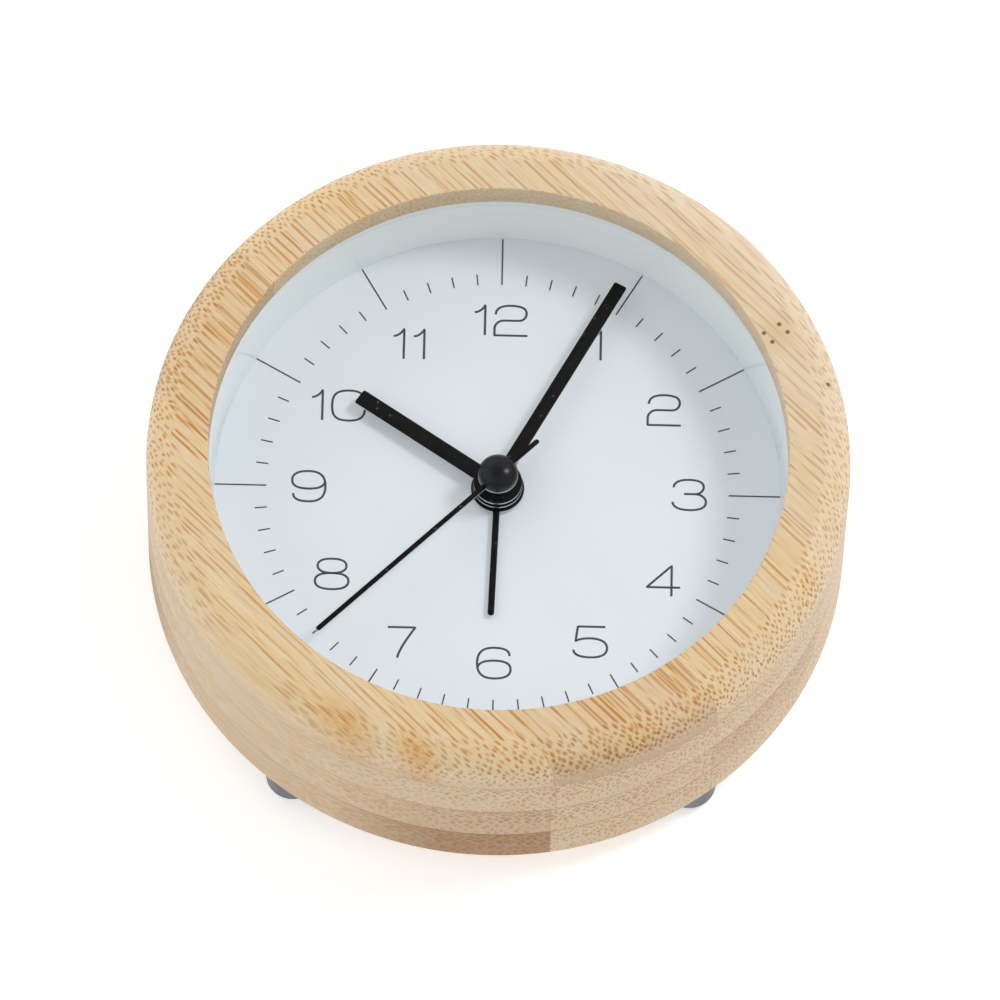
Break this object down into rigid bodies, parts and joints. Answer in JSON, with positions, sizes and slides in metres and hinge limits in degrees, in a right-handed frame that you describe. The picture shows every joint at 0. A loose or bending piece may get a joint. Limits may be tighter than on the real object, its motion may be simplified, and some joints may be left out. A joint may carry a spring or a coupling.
{
  "type": "wooden desk clock",
  "caption": "Round laminated bamboo alarm clock with a white dial, slim hands, flat lens, rubber feet and a battery movement with setting knobs behind it.",
  "frame": {"origin": "on the dial's axis, in the plane that the rubber feet stand on when the clock lies on its back", "axes": "+Z out of the dial, +Y towards 12 o'clock, +X towards 3 o'clock"},
  "size_m": [0.105, 0.105, 0.0375],
  "materials": {
    "bamboo": "satin lacquer over laminated bamboo",
    "lens_glass": "clear polished",
    "white_gloss": "gloss moulded",
    "dial_white": "matt printed",
    "hand_black": "satin black paint",
    "foot_rubber": "matt moulded",
    "back_black": "fine moulded grain",
    "plate_white": "moulded",
    "gear_plastic": "moulded acetal",
    "magnet": "sintered",
    "steel": "nickel plated",
    "copper_wire": "enamelled copper wire",
    "board_green": "solder mask",
    "crystal_can": "drawn can",
    "brass": "rolled",
    "cell_jacket": "plain printed sleeve"
  },
  "bodies": {
    "case": {"bamboo_case": "bamboo", "rubber_feet": "foot_rubber", "lens": "lens_glass", "spacer_ring": "white_gloss", "dial": "dial_white", "rear_cover": "back_black", "cover_screws": "steel", "rear_case": "back_black", "front_plate": "plate_white", "train_plate": "plate_white", "stator": "steel", "coil_core": "steel", "coil": "copper_wire", "circuit_board": "board_green", "quartz_crystal": "crystal_can", "buzzer": "brass", "alarm_contact": "brass", "battery": "cell_jacket", "contact_positive": "steel", "contact_negative": "steel"},
    "minute_hand": {"centre_wheel": "gear_plastic", "minute_hand": "hand_black"},
    "second_hand": {"seconds_wheel": "gear_plastic", "second_hand": "hand_black", "hand_cap": "hand_black"},
    "hour_hand": {"hour_wheel": "gear_plastic", "hour_hand": "hand_black"},
    "alarm_hand": {"alarm_wheel": "gear_plastic", "alarm_hand": "hand_black"},
    "rotor": {"rotor": "magnet"},
    "intermediate_wheel": {"intermediate_wheel": "gear_plastic"},
    "third_wheel": {"third_wheel": "gear_plastic"},
    "minute_wheel": {"minute_wheel": "gear_plastic"},
    "time_knob": {"time_set_arbor": "gear_plastic", "time_set_knob": "back_black"},
    "alarm_knob": {"alarm_set_arbor": "gear_plastic", "alarm_set_knob": "back_black"},
    "alarm_switch": {"alarm_switch": "back_black"},
    "battery_door": {"battery_door": "back_black"}
  },
  "joints": [
    {"name": "minute_turn", "type": "hinge", "parent": "case", "child": "minute_hand", "pos_m": [0, 0, 0.0251], "axis": [0, 0, -1], "continuous": true},
    {"name": "second_turn", "type": "hinge", "parent": "case", "child": "second_hand", "pos_m": [0, 0, 0.02755], "axis": [0, 0, -1], "continuous": true},
    {"name": "hour_turn", "type": "hinge", "parent": "case", "child": "hour_hand", "pos_m": [0, 0, 0.0241], "axis": [0, 0, -1], "continuous": true},
    {"name": "third_turn", "type": "hinge", "parent": "case", "child": "third_wheel", "pos_m": [-0.00906, 0.00423, 0.012], "axis": [0, 0, -1], "continuous": true},
    {"name": "intermediate_turn", "type": "hinge", "parent": "case", "child": "intermediate_wheel", "pos_m": [0.00766, 0.00643, 0.0091], "axis": [0, 0, -1], "continuous": true},
    {"name": "rotor_turn", "type": "hinge", "parent": "case", "child": "rotor", "pos_m": [0.0107, 0.01295, 0.0091], "axis": [0, 0, -1], "continuous": true},
    {"name": "minute_wheel_turn", "type": "hinge", "parent": "case", "child": "minute_wheel", "pos_m": [-0.00693, -0.004, 0.01615], "axis": [0, 0, -1], "continuous": true},
    {"name": "time_knob_turn", "type": "hinge", "parent": "case", "child": "time_knob", "pos_m": [-0.01539, -0.00708, 0.0024], "axis": [0, 0, -1], "continuous": true},
    {"name": "alarm_knob_turn", "type": "hinge", "parent": "case", "child": "alarm_knob", "pos_m": [0.01539, -0.00708, 0.0024], "axis": [0, 0, -1], "continuous": true},
    {"name": "alarm_turn", "type": "hinge", "parent": "case", "child": "alarm_hand", "pos_m": [0, 0, 0.023], "axis": [0, 0, -1], "continuous": true},
    {"name": "switch_slide", "type": "slide", "parent": "case", "child": "alarm_switch", "axis": [0, 1, 0], "range_m": [0, 0.004]},
    {"name": "door_hinge", "type": "hinge", "parent": "case", "child": "battery_door", "pos_m": [0, -0.02934, 0.0065], "axis": [-1, 0, 0], "range_deg": [0, 80]}
  ],
  "couplings": [
    {"joint": "third_turn", "follows": "minute_turn", "ratio": -8},
    {"joint": "minute_wheel_turn", "follows": "minute_turn", "ratio": -0.33333},
    {"joint": "second_turn", "follows": "minute_turn", "ratio": 60},
    {"joint": "intermediate_turn", "follows": "minute_turn", "ratio": -360},
    {"joint": "rotor_turn", "follows": "minute_turn", "ratio": 1800},
    {"joint": "hour_turn", "follows": "minute_turn", "ratio": 0.083333},
    {"joint": "time_knob_turn", "follows": "minute_turn", "ratio": 0.66667},
    {"joint": "alarm_turn", "follows": "alarm_knob_turn", "ratio": -0.33333}
  ]
}
